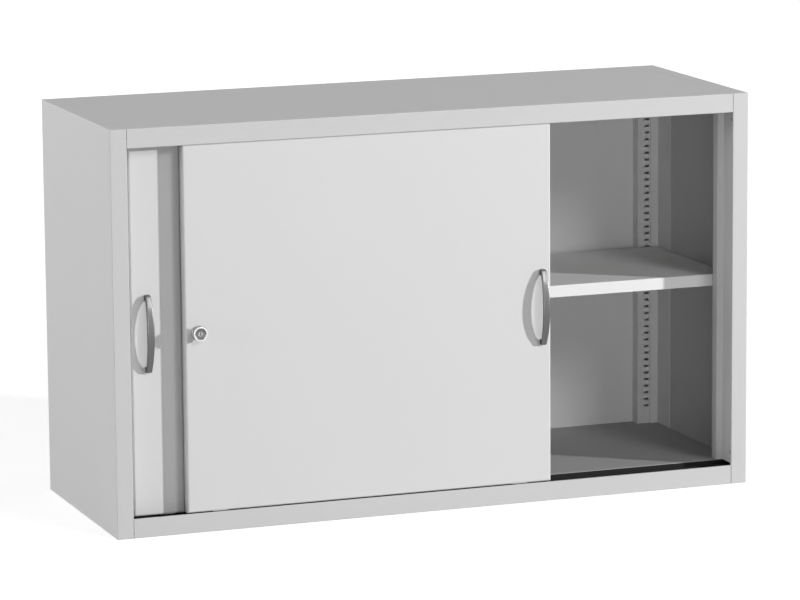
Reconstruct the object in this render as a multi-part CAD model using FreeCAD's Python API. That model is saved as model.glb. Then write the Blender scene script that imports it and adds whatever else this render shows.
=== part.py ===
import FreeCAD, Part
import math
import os

# Steel cabinet with two sliding doors, one shelf and a push lock, drawn piece by piece.
# Millimetres. +X is to the right, +Y to the back, +Z up. Pieces are drawn with Y = 0 on the front
# plane of the carcass, and save() shifts them so that the origin is under the middle of the footprint.

Vec = FreeCAD.Vector

# Overall size of the carcass
WIDTH = 1400.0
DEPTH = 500.0
HEIGHT = 840.0

# Sheet steel
SHEET = 1.0             # thickness of every sheet
FOLD = 0.6              # inner radius of every fold
FIT = 0.2               # gap round a sheet that is set between others
SEAM = 0.6              # seam between a rail and a stile, and along the top

# Frame
STILE = 35.0            # width of the side panels' flanges
STILE_LIP = 5.0         # fold behind a stile's inner edge
RAIL = 40.0             # height of the rails, and of the floor
RAIL_LIP = 5.0          # fold under the top rail
RAIL_THICK = 6.0        # bottom rail, front to back
RAIL_BACK = 28.0        # inner leg of the bottom rail
RAIL_FOOT = 40.0        # foot of the bottom and rear rails
SEAM_STRIP = 16.0       # strip behind a top seam
FLOOR_FOLD = 34.0       # fold down behind the floor
BED_FOLD = 17.0         # fold down in front of the track bed
TRACK_SINK = 14.0       # how far the track bed lies below the floor
FLOOR_RIB = 60.0        # width of the floor stiffener
FLOOR_RIB_DEEP = 24.0
FLOOR_RIB_FLANGE = 20.0
BASE_HOLE = 9.0         # bolt holes in the bottom flanges
BASE_HOLE_INSET = 60.0  # from the front and the back

# Front jambs and rear uprights
JAMB_INSET = 26.0       # pocket wall, from the outer side
JAMB_STRIP = 14.0       # strip that faces the front behind the doors
POCKET = 66.0           # depth of the door pocket
JAMB_RETURN = 24.0      # from the strip to the slotted flange
UPRIGHT = 30.0          # slotted face of a rear upright
UPRIGHT_SIDE = 18.0     # its second face, beside the side panel
UPRIGHT_STEP = 4.0      # step between the two faces
UPRIGHT_STAND = 28.0    # distance of the slotted face from the back panel
UPRIGHT_WING = 66.0     # wing that lies on the side panel
SLOT_WIDE = 11.0
SLOT_HIGH = 5.0
SLOT_PITCH = 15.0
SLOT_END = 40.0         # first slot above the floor, last slot below the top
SLOT_SIDE = 21.0        # from the inner edge of the upright to the slots' middle

# Shelf and its clips
SHELF_ROW = 22          # slot that carries the clips, counted up from 0
SHELF_EDGE = 25.0
SHELF_HEM = 14.0        # fold under the front and rear edges
SHELF_GAP = 2.0
SHELF_RIB = 50.0
SHELF_RIB_FLANGE = 20.0
CLIP_PLATE = 1.8
CLIP_WIDE = 10.0
CLIP_HIGH = 26.0
CLIP_ARM = 12.0
CLIP_HOOK = 4.0         # height of the tongue in its slot
CLIP_DROP = 6.0         # drop of the hook behind the slot
CLIP_RISE = 5.0         # from the slot's middle to the underside of the shelf

# Tracks
TRACK_BASE = 2.0
TRACK_EDGE = 0.8        # gap beside the bottom track
TRACK_LIP = 1.5         # upstand along the rear of the bottom track
RIB_WIDE = 3.0
RIB_HIGH = 5.0
GROOVE_WALL = 2.0
GROOVE_DEEP = 25.0
GROOVE_GAP = 0.4        # each side of a top guide
TRACK_SCREWS = 6
SCREW_END = 60.0        # last track screw, from the end of the track
SCREW_HEAD_R = 4.0
SCREW_R = 2.0
SCREW_LONG = 9.0
SCREW_FIT = 0.1
STOP_LONG = 20.0
STOP_HIGH = 20.0

# Doors
DOOR_OVERLAP = 258.6    # how far the closed doors overlap
DOOR_THICK = 20.0
DOOR_FOLD = 3.0         # inner radius of the door's front edges
DOOR_RECESS = 1.0       # front door behind the bottom rail
DOOR_GAP = 11.0         # between the doors
DOOR_LIFT = 0.5         # front door above the bottom rail
REAR_DROP = 4.5         # rear door further down than the front door
DOOR_TUCK = 6.0         # door up behind the top rail
REAR_AJAR = 19.0        # rear door from its closed place
BUFFER = 3.0
BUFFER_R = 6.0
BUFFER_END = 24.0       # buffers, from the door's top and bottom
BUFFER_GAP = 0.3
STIFFENER = 30.0
STIFFENER_FLANGE = 20.0
STIFFENER_INSET = 290.0  # from each edge of the door
GUIDE_LONG = 40.0
GUIDE_WIDE = 8.0
GUIDE_HIGH = 26.0

# Rollers
ROLLER_R = 14.0
ROLLER_GROOVE = 2.0
ROLLER_WIDE = 8.0
ROLLER_INSET = 70.0     # from each edge of the door, also for the guides
ROLLER_LIFT = 0.3       # above the rib
RIB_SIDE = 0.6          # each side of the rib in the roller's groove
ROLLER_PLAY = 0.5       # each side of a roller
AXLE_R = 3.0
SHOULDER_R = 4.5        # shoulders of the axle beside the roller
RUN_FIT = 0.05          # between a turning or sliding piece and its bore
CHEEK = 2.0
BRACKET = 32.0
BRACKET_TOP = 1.5       # above the roller

# Handles
GRIP_Z = 414.0          # middle of the handles and the lock
HANDLE_INSET = 19.5     # front handle from the front door's right edge
REAR_HANDLE_INSET = 34.0  # rear handle from the rear door's left edge
HANDLE_ROOM = 62.9      # between the rear handle and the open front door
HANDLE_LONG = 160.0
HANDLE_WIDE = 15.0
HANDLE_TIP = 11.0       # width at the ends
HANDLE_PROUD = 28.0     # how far the bow stands out
HANDLE_END = 12.0       # how far its ends stand out
HANDLE_BAR = 8.0
HANDLE_LEG = 12.0
HANDLE_ROUND = 2.0
HANDLE_CORNER = 6.0
HANDLE_SCREW_DEEP = 7.0
HANDLE_SCREW_HEAD = 2.5

# Lock
LOCK_INSET = 28.0       # from the front door's left edge
LOCK_TRAVEL = 9.0
LOCK_BODY_R = 10.0
LOCK_REAR = 1.0         # housing ends this far in front of the back sheet
LOCK_END_WALL = 1.0
ROSETTE_R = 14.5
ROSETTE = 4.0
ROSETTE_ROUND = 1.5
NUT_R = 14.0
NUT = 4.0
NUT_SIDES = 6
BARREL_R = 8.0
HEAD_R = 15.0
HEAD = 4.0
HEAD_STOP = 1.0         # room left when the barrel is pushed in
HEAD_ROUND = 1.2
DISH_R = 12.0
DISH = 2.0
BOLT_R = 4.0
BOLT_TIP = 0.5          # bolt behind the housing
BOLT_CLEAR = 2.0        # round the bolt in the back sheet
PLUG_R = 5.0
PLUG_LONG = 13.0
KEYWAY_WIDE = 1.6
KEYWAY_LONG = 7.0
KEYWAY_DEEP = 10.0
KEEPER_WIDE = 24.0
KEEPER_LONG = 32.0
KEEPER_TAB = 12.0
KEEPER_SHEET = 1.5
KEEPER_GAP = 3.0        # from the front door's back
KEEPER_HOLE_GAP = 0.8
KEEPER_RIVET_R = 1.6
KEEPER_RIVET_HEAD_R = 3.2
KEEPER_RIVET_HEAD = 1.2

# Rivets of the back panel
RIVET_R = 2.4
RIVET_HEAD_R = 3.8
RIVET_HEAD = 1.0
SIDE_RIVETS = 7         # up each side
LEVEL_RIVETS = 8        # along the top and the bottom
RIVET_FIT = 0.05

# Places that several pieces share
half = SHEET / 2
bend = SHEET + FOLD
door_edge = SHEET + DOOR_FOLD
side_x = WIDTH / 2
skin_x = side_x - SHEET
inner_x = side_x - STILE
rail_x = inner_x - SEAM
top_z = HEIGHT - SHEET
strip_z = top_z - SHEET
rear_y = DEPTH - SHEET
back_y = rear_y - SHEET
jamb_x = side_x - JAMB_INSET
jamb_back_y = POCKET + JAMB_RETURN
upright_x = skin_x - UPRIGHT_SIDE - UPRIGHT
upright_y = back_y - UPRIGHT_STAND
step_y = upright_y - UPRIGHT_STEP
slot_x = upright_x + SLOT_SIDE
bed_z = RAIL - TRACK_SINK
rib_z = bed_z + TRACK_BASE + RIB_HIGH
axle_z = rib_z + ROLLER_R - ROLLER_GROOVE + ROLLER_LIFT
front_z = RAIL + DOOR_LIFT
behind_z = front_z - REAR_DROP
door_top = HEIGHT - RAIL + DOOR_TUCK
front_y = RAIL_THICK + DOOR_RECESS
behind_y = front_y + DOOR_THICK + DOOR_GAP
closed_x = jamb_x - BUFFER - BUFFER_GAP
door_wide = closed_x + DOOR_OVERLAP / 2
behind_x = REAR_AJAR - closed_x
front_x = behind_x + REAR_HANDLE_INSET + HANDLE_WIDE / 2 + HANDLE_ROOM
open_travel = closed_x - door_wide - front_x
lock_x = front_x + LOCK_INSET
keeper_x = lock_x + open_travel + REAR_AJAR
first_slot_z = RAIL + SLOT_END
slot_rows = int((strip_z - SLOT_END - first_slot_z) / SLOT_PITCH) + 1
clip_slot_z = first_slot_z + SLOT_PITCH * SHELF_ROW
shelf_z = clip_slot_z + CLIP_RISE
shelf_top = shelf_z + SHELF_EDGE
foremost_y = front_y - HANDLE_PROUD
middle_y = (foremost_y + DEPTH) / 2


def box(x0, x1, y0, y1, z0, z1):
    return Part.makeBox(x1 - x0, y1 - y0, z1 - z0, Vec(x0, y0, z0))


def rod(radius, start, end):
    return Part.makeCylinder(radius, (end - start).Length, start, end - start)


def rod_y(radius, x, z, y0, y1):
    return rod(radius, Vec(x, y0, z), Vec(x, y1, z))


def mirrored(shape):
    """The same piece on the other side of the cabinet."""
    return shape.mirror(Vec(0, 0, 0), Vec(1, 0, 0))


def edges_where(shape, test):
    return [edge for edge in shape.Edges if test(edge.CenterOfMass)]


def spread(count, first, last):
    """Evenly spaced places from first to last."""
    return [first + (last - first) * i / (count - 1) for i in range(count)]


def save(name, *solids):
    """Write one piece, or a group of like pieces, with the origin under the middle of the footprint."""
    shape = Part.makeCompound(list(solids)) if len(solids) > 1 else solids[0]
    shape.translate(Vec(0, -middle_y, 0))
    shape.exportStep("parts/" + name + ".step")


def sheet_side(points, offset):
    """One face of a bent sheet: its ends, and for each bend the start, middle and end of an arc."""
    radius = bend - half
    runs = [(b - a).normalize() for a, b in zip(points, points[1:])]
    normals = [Vec(-run.y, run.x, 0) for run in runs]
    line = [points[0] + normals[0] * offset]
    for i in range(1, len(points) - 1):
        before, after = runs[i - 1], runs[i]
        turn = math.copysign(1, before.cross(after).z)
        set_back = radius * math.tan(before.getAngle(after) / 2)
        start = points[i] - before * set_back
        end = points[i] + after * set_back
        centre = start + normals[i - 1] * (turn * radius)
        outward = (points[i] - centre).normalize()
        middle = centre + outward * radius
        line.append(start + normals[i - 1] * offset)
        line.append(middle - outward * (turn * offset))
        line.append(end + normals[i] * offset)
    line.append(points[-1] + normals[-1] * offset)
    return line


def sheet_edges(line):
    edges = []
    here = line[0]
    for i in range(1, len(line) - 1, 3):
        edges.append(Part.LineSegment(here, line[i]).toShape())
        edges.append(Part.Arc(line[i], line[i + 1], line[i + 2]).toShape())
        here = line[i + 2]
    edges.append(Part.LineSegment(here, line[-1]).toShape())
    return edges


def folded(points, place, along):
    """A sheet folded along the points of its middle line, then drawn out along a vector."""
    flat = [Vec(u, v, 0) for u, v in points]
    left = [place(p) for p in sheet_side(flat, half)]
    right = [place(p) for p in sheet_side(flat, -half)]
    ends = [Part.LineSegment(left[i], right[i]).toShape() for i in (0, -1)]
    wire = Part.Wire(Part.__sortEdges__(sheet_edges(left) + sheet_edges(right) + ends))
    return Part.Face(wire).extrude(along)


def folded_along_x(points, x0, x1):
    """A folded sheet that runs across the cabinet. Its points are (y, z)."""
    return folded(points, lambda p: Vec(x0, p.x, p.y), Vec(x1 - x0, 0, 0))


def folded_upright(points, z0, z1):
    """A folded sheet that stands upright. Its points are (x, y)."""
    return folded(points, lambda p: Vec(p.x, p.y, z0), Vec(0, 0, z1 - z0))


def hat(middle, width, flange, foot, crown):
    """Middle line of a hat section: flanges at the height foot, the top of the hat at crown."""
    inner, outer = width / 2, width / 2 + flange
    return [(middle - outer, foot), (middle - inner, foot), (middle - inner, crown),
            (middle + inner, crown), (middle + inner, foot), (middle + outer, foot)]


def rivet_places():
    """Rivets of the back panel: up both side flanges, and along the top fold and the rear rail."""
    flange_x = side_x - STILE / 2
    levels = spread(SIDE_RIVETS, 2 * RAIL, HEIGHT - 2 * RAIL)
    across = spread(LEVEL_RIVETS, -inner_x + 2 * STILE, inner_x - 2 * STILE)
    rows = [RAIL / 2, HEIGHT - RAIL / 2]
    columns = [(side * flange_x, z) for side in (-1, 1) for z in levels]
    return columns + [(x, z) for z in rows for x in across]


def rivet_holes():
    radius = RIVET_R + RIVET_FIT
    front = back_y - 2 * SHEET
    return Part.makeCompound([rod_y(radius, x, z, front, DEPTH + SHEET) for x, z in rivet_places()])


def side_panel():
    """Right side: skin, stile with its lip, and flanges at the top, bottom and back."""
    panel = box(inner_x, side_x, 0, DEPTH, 0, HEIGHT)
    panel = panel.makeFillet(bend, edges_where(panel, lambda c: c.x > inner_x + half or c.y < half))
    hollow = box(inner_x + SHEET, skin_x, SHEET, rear_y, SHEET, top_z)
    mouth = box(inner_x - SHEET, inner_x + SHEET, STILE_LIP, rear_y, SHEET, top_z)
    panel = panel.cut(hollow).cut(mouth).cut(rivet_holes())
    for y in (BASE_HOLE_INSET, DEPTH - BASE_HOLE_INSET):
        x = side_x - STILE / 2
        panel = panel.cut(rod(BASE_HOLE / 2, Vec(x, y, -SHEET), Vec(x, y, 2 * SHEET)))
    return panel


def top_panel():
    """Top sheet with the top rail folded down in front and a fold behind."""
    under = HEIGHT - RAIL
    points = [(RAIL_LIP, under + half), (half, under + half), (half, HEIGHT - half),
              (DEPTH - half, HEIGHT - half), (DEPTH - half, under)]
    return folded_along_x(points, -rail_x, rail_x).cut(rivet_holes())


def seam_strip():
    x0 = inner_x - SEAM_STRIP / 2
    return box(x0, x0 + SEAM_STRIP, RAIL_THICK, DEPTH - RAIL_THICK, strip_z, top_z)


def bottom_rail():
    back = RAIL_THICK - half
    points = [(RAIL_FOOT, half), (half, half), (half, RAIL - half),
              (back, RAIL - half), (back, RAIL - RAIL_BACK)]
    return folded_along_x(points, -rail_x, rail_x)


def rear_rail():
    points = [(DEPTH - RAIL_FOOT, half), (DEPTH - half, half), (DEPTH - half, RAIL)]
    return folded_along_x(points, -rail_x, rail_x).cut(rivet_holes())


def track_screw_places():
    """Screws of the bottom track, on the web between its ribs."""
    y = (front_y + behind_y + DOOR_THICK) / 2
    last = jamb_x - SCREW_END
    return [(x, y) for x in spread(TRACK_SCREWS, -last, last)]


def track_screw_holes(z0, z1):
    radius = SCREW_R + SCREW_FIT
    return Part.makeCompound([rod(radius, Vec(x, y, z0), Vec(x, y, z1)) for x, y in track_screw_places()])


def floor_panel():
    """Floor with a stepped bed for the track in front, a fold behind, and end legs on the bottom flanges."""
    end = skin_x - FIT
    rear, step, front = back_y - half, POCKET + half, RAIL_THICK + half
    points = [(rear, RAIL - FLOOR_FOLD), (rear, RAIL - half), (step, RAIL - half), (step, bed_z - half),
              (front, bed_z - half), (front, bed_z - BED_FOLD)]
    floor = folded_along_x(points, -end, end)
    leg = box(end - SHEET, end, POCKET + bend, back_y - bend, SHEET, RAIL - half)
    floor = floor.fuse([leg, mirrored(leg)]).cut(rivet_holes())
    return floor.cut(track_screw_holes(bed_z - 2 * SHEET, bed_z + SHEET))


def floor_stiffener():
    middle = (POCKET + back_y) / 2
    crown = RAIL - SHEET - FLOOR_RIB_DEEP + half
    points = hat(middle, FLOOR_RIB, FLOOR_RIB_FLANGE, RAIL - SHEET - half, crown)
    return folded_along_x(points, -inner_x, inner_x)


def back_panel():
    end = skin_x - FIT
    return box(-end, end, back_y, rear_y, RAIL - FLOOR_FOLD, strip_z).cut(rivet_holes())


def back_rivet(x, z):
    """Rivet that is flush behind, with its head on the back panel or on the fold of the floor."""
    seat = back_y - SHEET if z < RAIL else back_y
    return rod_y(RIVET_R, x, z, seat, DEPTH).fuse(rod_y(RIVET_HEAD_R, x, z, seat - RIVET_HEAD, seat))


def slots(y):
    """Slot row through an upright sheet whose front lies at y."""
    x0, z0 = slot_x - SLOT_WIDE / 2, first_slot_z - SLOT_HIGH / 2
    slot = box(x0, x0 + SLOT_WIDE, y - SHEET, y + 2 * SHEET, z0, z0 + SLOT_HIGH)
    return Part.makeCompound([slot.translated(Vec(0, 0, SLOT_PITCH * row)) for row in range(slot_rows)])


def jamb():
    """Right front jamb: pocket wall, strip that faces the front, return, and slotted flange."""
    wall, strip = jamb_x + half, jamb_x - JAMB_STRIP + half
    front, flange = POCKET + half, jamb_back_y - half
    points = [(wall, SHEET), (wall, front), (strip, front), (strip, flange), (skin_x - FIT, flange)]
    return folded_upright(points, RAIL, strip_z).cut(slots(jamb_back_y - SHEET))


def rear_upright():
    """Right rear upright: slotted face, stepped second face, and a wing on the side panel."""
    inner, step, wing = upright_x + half, upright_x + UPRIGHT - half, skin_x - half
    points = [(inner, back_y), (inner, upright_y + half), (step, upright_y + half), (step, step_y + half),
              (wing, step_y + half), (wing, step_y - UPRIGHT_WING)]
    return folded_upright(points, RAIL, strip_z).cut(slots(upright_y))


shelf_x = skin_x - SHELF_GAP
shelf_front_y = jamb_back_y + SHELF_GAP
shelf_rear_y = step_y - SHELF_GAP


def shelf():
    """Shelf tray with edges folded down all round, and hems under the front and rear edges."""
    tray = box(-shelf_x, shelf_x, shelf_front_y, shelf_rear_y, shelf_z, shelf_top)
    tray = tray.makeFillet(bend, edges_where(tray, lambda c: c.z > shelf_z + half))
    hollow = box(-shelf_x + SHEET, shelf_x - SHEET, shelf_front_y + SHEET, shelf_rear_y - SHEET,
                 shelf_z + SHEET, shelf_top - SHEET)
    mouth = box(-shelf_x + SHEET, shelf_x - SHEET, shelf_front_y + SHELF_HEM, shelf_rear_y - SHELF_HEM,
                shelf_z - SHEET, shelf_z + 2 * SHEET)
    return tray.cut(hollow).cut(mouth)


def shelf_stiffener():
    middle = (shelf_front_y + shelf_rear_y) / 2
    points = hat(middle, SHELF_RIB, SHELF_RIB_FLANGE, shelf_top - SHEET - half, shelf_z + SHEET + half)
    return folded_along_x(points, -inner_x, inner_x)


def shelf_clip(face_y, forward):
    """Clip that hooks into a slot. face_y is the slotted face, forward is where the shelf lies from it."""

    def piece(near, far, z0, z1):
        ends = sorted([face_y + forward * near, face_y + forward * far])
        return box(slot_x - CLIP_WIDE / 2, slot_x + CLIP_WIDE / 2, ends[0], ends[1], z0, z1)

    behind = -SHEET - FIT
    low, high = clip_slot_z - CLIP_HOOK / 2, clip_slot_z + CLIP_HOOK / 2
    plate = piece(0, CLIP_PLATE, shelf_z - CLIP_HIGH, shelf_z)
    arm = piece(0, CLIP_PLATE + CLIP_ARM, shelf_z - CLIP_PLATE, shelf_z)
    tongue = piece(behind - CLIP_PLATE, CLIP_PLATE, low, high)
    hook = piece(behind - CLIP_PLATE, behind, low - CLIP_DROP, high)
    return plate.fuse([arm, tongue, hook]).removeSplitter()


def door_middle(y):
    return y + DOOR_THICK / 2


def bottom_track():
    """Track strip with one rib under each door, and a lip that covers the step up to the floor."""
    end = skin_x - FIT - SHEET
    base_top = bed_z + TRACK_BASE
    rear = POCKET - TRACK_EDGE
    track = box(-end, end, RAIL_THICK + TRACK_EDGE, rear, bed_z, base_top)
    track = track.fuse(box(-end, end, rear - TRACK_LIP, rear, base_top, RAIL - TRACK_EDGE))
    for y in (door_middle(front_y), door_middle(behind_y)):
        track = track.fuse(box(-end, end, y - RIB_WIDE / 2, y + RIB_WIDE / 2, base_top, rib_z))
    return track.cut(track_screw_holes(bed_z - SHEET, base_top + SHEET)).removeSplitter()


def track_screw(x, y):
    seat = bed_z + TRACK_BASE
    head = rod(SCREW_HEAD_R, Vec(x, y, seat), Vec(x, y, seat + SCREW_R))
    return head.fuse(rod(SCREW_R, Vec(x, y, seat - SCREW_LONG), Vec(x, y, seat)))


groove = GUIDE_WIDE / 2 + GROOVE_GAP
top_track_end = inner_x - SEAM_STRIP / 2 - SEAM


def top_track():
    """Track under the top panel: a groove for the guides of each door."""
    track = box(-top_track_end, top_track_end, front_y, POCKET - TRACK_EDGE, top_z - TRACK_BASE, top_z)
    for y in (door_middle(front_y), door_middle(behind_y)):
        for y0 in (y - groove - GROOVE_WALL, y + groove):
            track = track.fuse(box(-top_track_end, top_track_end, y0, y0 + GROOVE_WALL,
                                   top_z - TRACK_BASE - GROOVE_DEEP, top_z - TRACK_BASE))
    return track.removeSplitter()


def track_stop(face_x, away, y):
    """Block in a groove of the top track, with the face that a guide meets at face_x."""
    x0, x1 = sorted([face_x, face_x + away * STOP_LONG])
    under = top_z - TRACK_BASE
    return box(x0, x1, y - GUIDE_WIDE / 2, y + GUIDE_WIDE / 2, under - STOP_HIGH, under)


def door_buffer(side, y, z):
    return rod(BUFFER_R, Vec(side * jamb_x, y, z), Vec(side * (jamb_x - BUFFER), y, z))


def roller_places(x0):
    return [x0 + ROLLER_INSET, x0 + door_wide - ROLLER_INSET]


def handle_legs():
    """Heights of the two handle screws."""
    reach = HANDLE_LONG / 2 - HANDLE_LEG / 2
    return [GRIP_Z - reach, GRIP_Z + reach]


def door_skin(x0, y0, z0, handle_x, holes):
    """Front sheet of a door with its edges folded back, openings for the rollers and screw holes."""
    back = y0 + DOOR_THICK
    tray = box(x0, x0 + door_wide, y0, back, z0, door_top)
    tray = tray.makeFillet(door_edge, edges_where(tray, lambda c: c.y < y0 + half))
    hollow = box(x0 + SHEET, x0 + door_wide - SHEET, y0 + SHEET, back + SHEET,
                 z0 + SHEET, door_top - SHEET)
    hollow = hollow.makeFillet(DOOR_FOLD, edges_where(hollow, lambda c: c.y < y0 + SHEET + half))
    tray = tray.cut(hollow)
    notch = BRACKET / 2 + FIT
    for x in roller_places(x0):
        tray = tray.cut(box(x - notch, x + notch, y0 + SHEET, back + SHEET,
                            z0 - SHEET, z0 + door_edge))
    for z in handle_legs():
        tray = tray.cut(rod_y(SCREW_R + SCREW_FIT, handle_x, z, y0 - SHEET, y0 + 2 * SHEET))
    for hole in holes:
        tray = tray.cut(hole)
    return tray


def door_back(x0, y0, z0):
    """Sheet that closes the back of a door."""
    back = y0 + DOOR_THICK
    edge = SHEET + FIT
    return box(x0 + edge, x0 + door_wide - edge, back - SHEET, back, z0 + edge, door_top - edge)


def door_stiffener(x, y0, z0):
    points = hat(x, STIFFENER, STIFFENER_FLANGE, y0 + SHEET + half, y0 + DOOR_THICK - SHEET - half)
    return folded_upright(points, z0 + door_edge + FIT, door_top - door_edge - FIT)


def roller_bracket(x, y0, z0):
    """Bracket between the two sheets of a door, open below, with a cheek at each end of an axle."""
    front, back = y0 + SHEET, y0 + DOOR_THICK - SHEET
    under = axle_z + ROLLER_R + BRACKET_TOP
    bracket = box(x - BRACKET / 2, x + BRACKET / 2, front, back, z0, under + CHEEK)
    bracket = bracket.cut(box(x - BRACKET, x + BRACKET, front + CHEEK, back - CHEEK, z0 - SHEET, under))
    return bracket.cut(rod_y(AXLE_R + RUN_FIT, x, axle_z, front - SHEET, back + SHEET))


def roller_axle(x, y0):
    """Axle from cheek to cheek, with shoulders that keep the roller in the middle."""
    front, back = y0 + SHEET, y0 + DOOR_THICK - SHEET
    middle = door_middle(y0)
    side = ROLLER_WIDE / 2 + ROLLER_PLAY
    shoulders = [rod_y(SHOULDER_R, x, axle_z, front + CHEEK, middle - side),
                 rod_y(SHOULDER_R, x, axle_z, middle + side, back - CHEEK)]
    return rod_y(AXLE_R, x, axle_z, front, back).fuse(shoulders).removeSplitter()


def roller(x, y0):
    """Roller with a groove that runs on the rib of the track."""
    middle = door_middle(y0)
    side = ROLLER_WIDE / 2
    wheel = rod_y(ROLLER_R, x, axle_z, middle - side, middle + side)
    ring = RIB_WIDE / 2 + RIB_SIDE
    core = rod_y(ROLLER_R - ROLLER_GROOVE, x, axle_z, middle - ring, middle + ring)
    wheel = wheel.cut(rod_y(2 * ROLLER_R, x, axle_z, middle - ring, middle + ring).cut(core))
    return wheel.cut(rod_y(AXLE_R + RUN_FIT, x, axle_z, middle - 2 * side, middle + 2 * side))


def door_guide(x, y0):
    """Nylon block on the top edge of a door, which runs in the top track."""
    middle = door_middle(y0)
    return box(x - GUIDE_LONG / 2, x + GUIDE_LONG / 2, middle - GUIDE_WIDE / 2, middle + GUIDE_WIDE / 2,
               door_top, door_top + GUIDE_HIGH)


def handle(x, y0):
    """Bow handle: an arched bar, wider in the middle, on two legs."""
    end = HANDLE_LONG / 2
    clear = end - HANDLE_LEG
    arch = HANDLE_PROUD - HANDLE_END
    inner_end = HANDLE_END + arch * (1 - (clear / end) ** 2) - HANDLE_BAR

    def at(z, out):
        return Vec(x - HANDLE_WIDE, y0 - out, GRIP_Z + z)

    outer = Part.Arc(at(-end, HANDLE_END), at(0, HANDLE_PROUD), at(end, HANDLE_END)).toShape()
    inner = Part.Arc(at(-clear, inner_end), at(0, HANDLE_PROUD - HANDLE_BAR), at(clear, inner_end)).toShape()
    edges = [outer, inner]
    for s in (-1, 1):
        foot = [at(s * end, HANDLE_END), at(s * end, 0), at(s * clear, 0), at(s * clear, inner_end)]
        edges += Part.makePolygon(foot).Edges
    bow = Part.Face(Part.Wire(Part.__sortEdges__(edges))).extrude(Vec(2 * HANDLE_WIDE, 0, 0))

    def seen(across, z):
        return Vec(x + across, y0, GRIP_Z + z)

    tip, wide = HANDLE_TIP / 2, HANDLE_WIDE / 2
    sides = [Part.Arc(seen(s * tip, -end), seen(s * wide, 0), seen(s * tip, end)).toShape() for s in (-1, 1)]
    ends = [Part.LineSegment(seen(-tip, s * end), seen(tip, s * end)).toShape() for s in (-1, 1)]
    front = Part.Face(Part.Wire(Part.__sortEdges__(sides + ends))).extrude(Vec(0, -2 * HANDLE_PROUD, 0))
    bow = bow.common(front)
    corner_y = y0 - HANDLE_END
    corners = edges_where(bow, lambda c: abs(c.y - corner_y) < half and abs(c.x - x) < half
                          and abs(c.z - GRIP_Z) > clear)
    bow = bow.makeFillet(HANDLE_CORNER, corners)
    bow = bow.makeFillet(HANDLE_ROUND, edges_where(bow, lambda c: c.y < y0 - half and abs(c.x - x) > tip / 2))
    for z in handle_legs():
        bow = bow.cut(rod_y(SCREW_R + SCREW_FIT, x, z, y0 - HANDLE_SCREW_DEEP - SHEET, y0 + SHEET))
    return bow


def handle_screw(x, z, y0):
    seat = y0 + SHEET
    head = rod_y(SCREW_HEAD_R, x, z, seat, seat + HANDLE_SCREW_HEAD)
    return head.fuse(rod_y(SCREW_R, x, z, y0 - HANDLE_SCREW_DEEP, seat))


rosette_y = front_y - ROSETTE
housing_end = front_y + DOOR_THICK - SHEET - LOCK_REAR
head_back = rosette_y - LOCK_TRAVEL - HEAD_STOP
head_front = head_back - HEAD
barrel_end = housing_end - LOCK_END_WALL - LOCK_TRAVEL - HEAD_STOP
dish_y = head_front + DISH


def at_lock(radius, y0, y1):
    return rod_y(radius, lock_x, GRIP_Z, y0, y1)


def lock_rosette():
    ring = at_lock(ROSETTE_R, rosette_y, front_y)
    ring = ring.makeFillet(ROSETTE_ROUND, edges_where(ring, lambda c: c.y < rosette_y + half))
    return ring.cut(at_lock(LOCK_BODY_R + RUN_FIT, rosette_y - SHEET, front_y + SHEET))


def lock_housing():
    """Threaded sleeve through the door, with an end wall that guides the bolt."""
    sleeve = at_lock(LOCK_BODY_R, rosette_y, housing_end)
    sleeve = sleeve.cut(at_lock(BARREL_R + RUN_FIT, rosette_y - SHEET, housing_end - LOCK_END_WALL))
    return sleeve.cut(at_lock(BOLT_R + RUN_FIT, rosette_y, housing_end + SHEET))


def lock_nut():
    """Hexagon nut behind the door's front sheet."""
    seat = front_y + SHEET
    turns = [math.tau * i / NUT_SIDES for i in range(NUT_SIDES + 1)]
    corners = [Vec(lock_x + NUT_R * math.cos(turn), seat, GRIP_Z + NUT_R * math.sin(turn)) for turn in turns]
    nut = Part.Face(Part.makePolygon(corners)).extrude(Vec(0, NUT, 0))
    return nut.cut(at_lock(LOCK_BODY_R + RUN_FIT, seat - SHEET, seat + NUT + SHEET))


def lock_cylinder():
    """Barrel that is pushed in, with a dished head round the key plug."""
    head = at_lock(HEAD_R, head_front, head_back)
    head = head.makeFillet(HEAD_ROUND, edges_where(head, lambda c: abs(c.x - lock_x) < half))
    dish = Part.makeCone(DISH_R, PLUG_R + SHEET, DISH, Vec(lock_x, head_front, GRIP_Z), Vec(0, 1, 0))
    barrel = head.fuse(at_lock(BARREL_R, head_back - SHEET, barrel_end)).cut(dish)
    return barrel.cut(at_lock(PLUG_R + RUN_FIT, head_front, dish_y + PLUG_LONG)).removeSplitter()


def lock_bolt():
    return at_lock(BOLT_R, barrel_end, housing_end + BOLT_TIP)


def key_plug():
    plug = at_lock(PLUG_R, dish_y, dish_y + PLUG_LONG - RUN_FIT)
    x0, z0 = lock_x - KEYWAY_WIDE / 2, GRIP_Z - KEYWAY_LONG / 2
    return plug.cut(box(x0, x0 + KEYWAY_WIDE, dish_y - SHEET, dish_y + KEYWAY_DEEP, z0, z0 + KEYWAY_LONG))


keeper_y = front_y + DOOR_THICK + KEEPER_GAP


def keeper_tabs():
    reach = KEEPER_LONG / 2 + KEEPER_TAB / 2
    return [GRIP_Z - reach, GRIP_Z + reach]


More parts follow.
